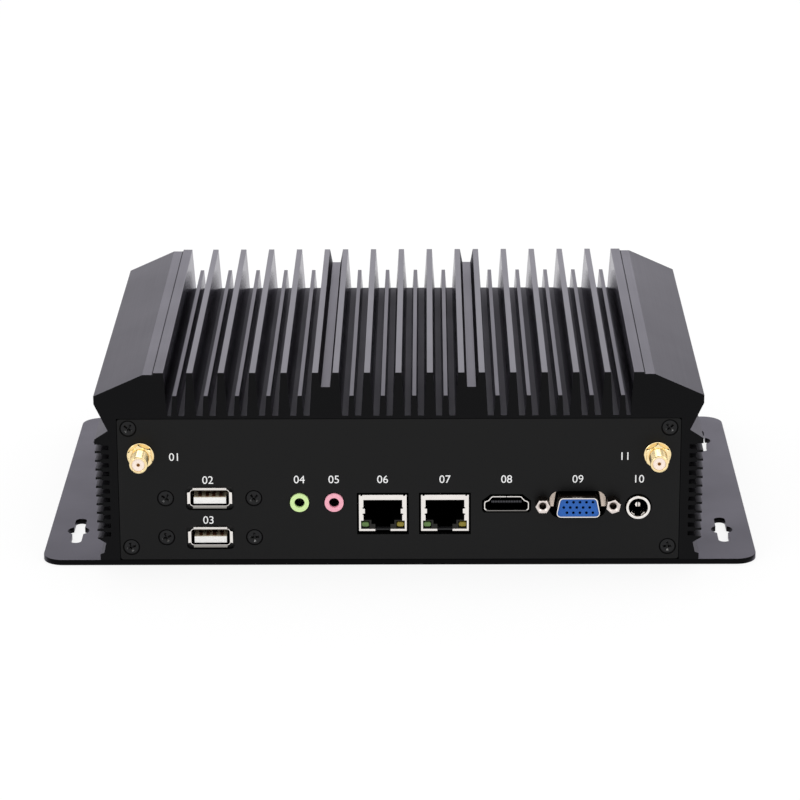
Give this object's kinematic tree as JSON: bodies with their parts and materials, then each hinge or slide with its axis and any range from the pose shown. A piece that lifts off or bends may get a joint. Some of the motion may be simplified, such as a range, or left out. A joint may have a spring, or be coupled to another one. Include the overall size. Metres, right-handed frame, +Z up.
{
  "type": "fanless industrial pc",
  "caption": "Compact fanless computer: a finned black case on a flanged wall plate, with computer sockets on its front and rear panels.",
  "frame": {"origin": "centre of the base plate's underside", "axes": "+Z up, +X to the right, and the socket panel facing -Y"},
  "size_m": [0.256, 0.1764, 0.0722],
  "materials": {
    "case_finish": "satin black, fine grain",
    "black_screws": "blackened steel, slightly worn crosses",
    "steel": "plated steel",
    "nickel": "bright nickel plate",
    "brass": "bare brass",
    "gold": "gold plate",
    "aluminium": "bare milled aluminium",
    "white_plastic": "smooth moulding",
    "black_plastic": "fine matt moulding",
    "grey_plastic": "smooth grey moulding",
    "blue_plastic": "smooth blue moulding",
    "green_plastic": "smooth pale green moulding",
    "pink_plastic": "smooth pink moulding",
    "green_lens": "clouded lens, unlit",
    "yellow_lens": "clouded lens, unlit",
    "clear_lens": "clouded lens, unlit",
    "circuit_board": "green lacquered laminate",
    "chip": "dark moulded package",
    "thermal_pad": "soft grey sheet"
  },
  "bodies": {
    "case": {"aerial_1_socket": "gold", "aerial_2_socket": "gold", "aerial_contacts": "gold", "aerial_insulators": "white_plastic", "aerial_nuts": "gold", "aerial_washers": "gold", "analogue_video_insert": "blue_plastic", "analogue_video_posts": "nickel", "analogue_video_shell": "nickel", "base_plate": "case_finish", "base_plate_screws": "black_screws", "board_posts": "brass", "board_screws": "steel", "card_sockets": "black_plastic", "coin_cell": "steel", "coin_cell_holder": "black_plastic", "digital_video_insert": "black_plastic", "digital_video_shell": "nickel", "front_panel": "case_finish", "front_panel_screws": "black_screws", "heat_block": "aluminium", "heat_block_screws": "steel", "heatsink_chassis": "case_finish", "memory_module": "circuit_board", "memory_socket": "black_plastic", "microphone_jack": "pink_plastic", "motherboard": "circuit_board", "network_contacts": "gold", "network_first_insert": "grey_plastic", "network_first_shell": "nickel", "network_green_lights": "green_lens", "network_second_insert": "grey_plastic", "network_second_shell": "nickel", "network_yellow_lights": "yellow_lens", "power_button_barrel": "nickel", "power_button_nut": "nickel", "power_button_switch": "black_plastic", "power_inlet_body": "black_plastic", "power_inlet_pin": "nickel", "power_inlet_sleeve": "nickel", "processor": "chip", "rear_panel": "case_finish", "rear_panel_screws": "black_screws", "serial_first_insert": "black_plastic", "serial_first_shell": "nickel", "serial_posts": "nickel", "serial_second_insert": "black_plastic", "serial_second_shell": "nickel", "speaker_jack": "green_plastic", "status_lights": "clear_lens", "storage_module": "circuit_board", "thermal_pad": "thermal_pad", "usb_holders": "black_plastic", "usb_lower_insert": "white_plastic", "usb_lower_shell": "nickel", "usb_screws": "black_screws", "usb_upper_insert": "white_plastic", "usb_upper_shell": "nickel", "wireless_card": "circuit_board"},
    "button": {"power_button_cap": "nickel"}
  },
  "joints": [
    {"name": "power_button", "type": "slide", "parent": "case", "child": "button", "axis": [0, -1, 0], "range_m": [0, 0.0015], "stiffness_N_per_m": 800, "springref_m": -0.0008}
  ]
}
